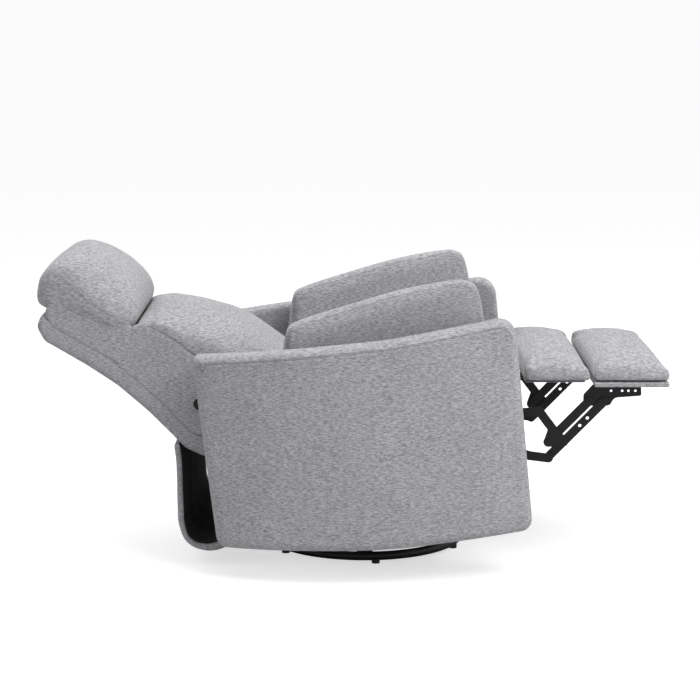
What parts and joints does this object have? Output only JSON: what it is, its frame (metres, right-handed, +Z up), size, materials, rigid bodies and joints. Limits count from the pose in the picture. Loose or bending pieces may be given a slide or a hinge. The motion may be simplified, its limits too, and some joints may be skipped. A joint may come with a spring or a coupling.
{
  "type": "swivel glider recliner",
  "caption": "Upholstered recliner with barrel-like outer arms, crowned back cushions, a fold-out padded footrest on steel links, and a gliding frame on a swivel ring base.",
  "frame": {"origin": "on the floor under the swivel axis", "axes": "+Z up along the swivel axis, -Y the way the chair faces, +X to the sitter's left; drawn reclined with its footrest out"},
  "size_m": [0.92, 1.5587, 0.7826],
  "materials": {
    "grey_fabric": "matt woven heather grey",
    "flap_cloth": "matt woven grey outside, black lining",
    "covered_board": "thin dark cloth stapled over board",
    "black_steel": "black semi-gloss paint",
    "rivet_steel": "dark zinc plating",
    "ball_steel": "polished bearing steel",
    "foot_plastic": "matt black",
    "frame_wood": "bare plywood",
    "webbing": "woven elastic band",
    "foam": "open-cell foam"
  },
  "bodies": {
    "base": {"base_ring": "black_steel", "base_feet": "foot_plastic", "base_bars": "black_steel", "lower_swivel_plate": "black_steel", "swivel_balls": "ball_steel", "swivel_kingpin": "rivet_steel"},
    "swivel_frame": {"upper_swivel_plate": "black_steel", "glider_frame": "black_steel", "glider_uprights": "black_steel", "glide_top_pins": "rivet_steel"},
    "front_links": {"swing_links_front": "black_steel"},
    "rear_links": {"swing_links_rear": "black_steel"},
    "carriage": {"glide_low_pins": "rivet_steel", "glide_rails": "black_steel", "cross_bar_front": "black_steel", "cross_bar_rear": "black_steel", "side_plate_left": "black_steel", "side_plate_right": "black_steel", "arm_mounts": "frame_wood", "arm_panel_left": "grey_fabric", "arm_panel_right": "grey_fabric", "rear_flap": "flap_cloth", "carriage_pins": "rivet_steel"},
    "seat": {"seat_plate_left": "black_steel", "seat_plate_right": "black_steel", "seat_front_rail": "frame_wood", "seat_rear_rail": "frame_wood", "seat_webbing": "webbing", "seat_core": "foam", "seat_cushion": "grey_fabric", "arm_pad_left": "grey_fabric", "arm_pad_right": "grey_fabric", "arm_pad_brackets": "black_steel", "front_hinge_leaves": "black_steel", "seat_rivets": "rivet_steel"},
    "back": {"back_hinge_plates": "black_steel", "back_side_board_left": "frame_wood", "back_side_board_right": "frame_wood", "back_slats": "frame_wood", "back_shell": "grey_fabric", "lumbar_cushion": "grey_fabric", "headrest_cushion": "grey_fabric"},
    "cranks": {"bent_crank_left": "black_steel", "bent_crank_right": "black_steel", "crank_rivets": "rivet_steel"},
    "lower_links": {"lower_link_left": "black_steel", "lower_link_right": "black_steel"},
    "upper_links": {"upper_link_left": "black_steel", "upper_link_right": "black_steel"},
    "rear_crank_pair": {"rear_cranks": "black_steel", "rear_crank_rivets": "rivet_steel"},
    "footrest": {"footrest_bracket_left": "black_steel", "footrest_bracket_right": "black_steel", "bracket_rivets": "rivet_steel", "footrest_board": "covered_board", "footrest_pad": "grey_fabric"},
    "middle": {"middle_board": "covered_board", "middle_pad": "grey_fabric", "middle_hinge_leaves": "black_steel"}
  },
  "joints": [
    {"name": "swivel", "type": "hinge", "parent": "base", "child": "swivel_frame", "pos_m": [0, 0, 0.03], "axis": [0, 0, 1], "continuous": true},
    {"name": "glide", "type": "hinge", "parent": "swivel_frame", "child": "front_links", "pos_m": [0, -0.13, 0.168], "axis": [1, 0, 0], "range_deg": [-16, 16]},
    {"name": "glide_rear", "type": "hinge", "parent": "swivel_frame", "child": "rear_links", "pos_m": [0, 0.13, 0.168], "axis": [1, 0, 0], "range_deg": [-16, 16]},
    {"name": "carriage_level", "type": "hinge", "parent": "front_links", "child": "carriage", "pos_m": [0, -0.13, 0.063], "axis": [1, 0, 0], "range_deg": [-16, 16]},
    {"name": "recline", "type": "hinge", "parent": "carriage", "child": "back", "pos_m": [0, 0.225, 0.385], "axis": [1, 0, 0], "range_deg": [0, 48]},
    {"name": "seat_tilt", "type": "hinge", "parent": "carriage", "child": "seat", "pos_m": [0, -0.12, 0.3], "axis": [1, 0, 0], "range_deg": [0, 4.5]},
    {"name": "footrest_open", "type": "hinge", "parent": "seat", "child": "cranks", "pos_m": [0, -0.27, 0.369], "axis": [1, 0, 0], "range_deg": [0, 90]},
    {"name": "lower_link_turn", "type": "hinge", "parent": "cranks", "child": "lower_links", "pos_m": [0, -0.484, 0.304], "axis": [1, 0, 0], "range_deg": [-90, 0]},
    {"name": "upper_link_turn", "type": "hinge", "parent": "cranks", "child": "upper_links", "pos_m": [0, -0.446, 0.3033], "axis": [1, 0, 0], "range_deg": [-90, 0]},
    {"name": "footrest_turn", "type": "hinge", "parent": "lower_links", "child": "footrest", "pos_m": [0, -0.582, 0.405], "axis": [1, 0, 0], "range_deg": [0, 90]},
    {"name": "rear_crank_turn", "type": "hinge", "parent": "seat", "child": "rear_crank_pair", "pos_m": [0, -0.233, 0.331], "axis": [1, 0, 0], "range_deg": [0, 90]},
    {"name": "middle_pad_turn", "type": "hinge", "parent": "seat", "child": "middle", "pos_m": [0, -0.368, 0.47], "axis": [1, 0, 0], "range_deg": [0, 90]}
  ],
  "couplings": [
    {"joint": "glide_rear", "follows": "glide", "ratio": 1},
    {"joint": "carriage_level", "follows": "glide", "ratio": -1},
    {"joint": "seat_tilt", "follows": "recline", "ratio": 0.09375},
    {"joint": "lower_link_turn", "follows": "footrest_open", "ratio": -1},
    {"joint": "upper_link_turn", "follows": "footrest_open", "ratio": -1},
    {"joint": "footrest_turn", "follows": "footrest_open", "ratio": 1},
    {"joint": "rear_crank_turn", "follows": "footrest_open", "ratio": 1},
    {"joint": "middle_pad_turn", "follows": "footrest_open", "ratio": 1}
  ]
}
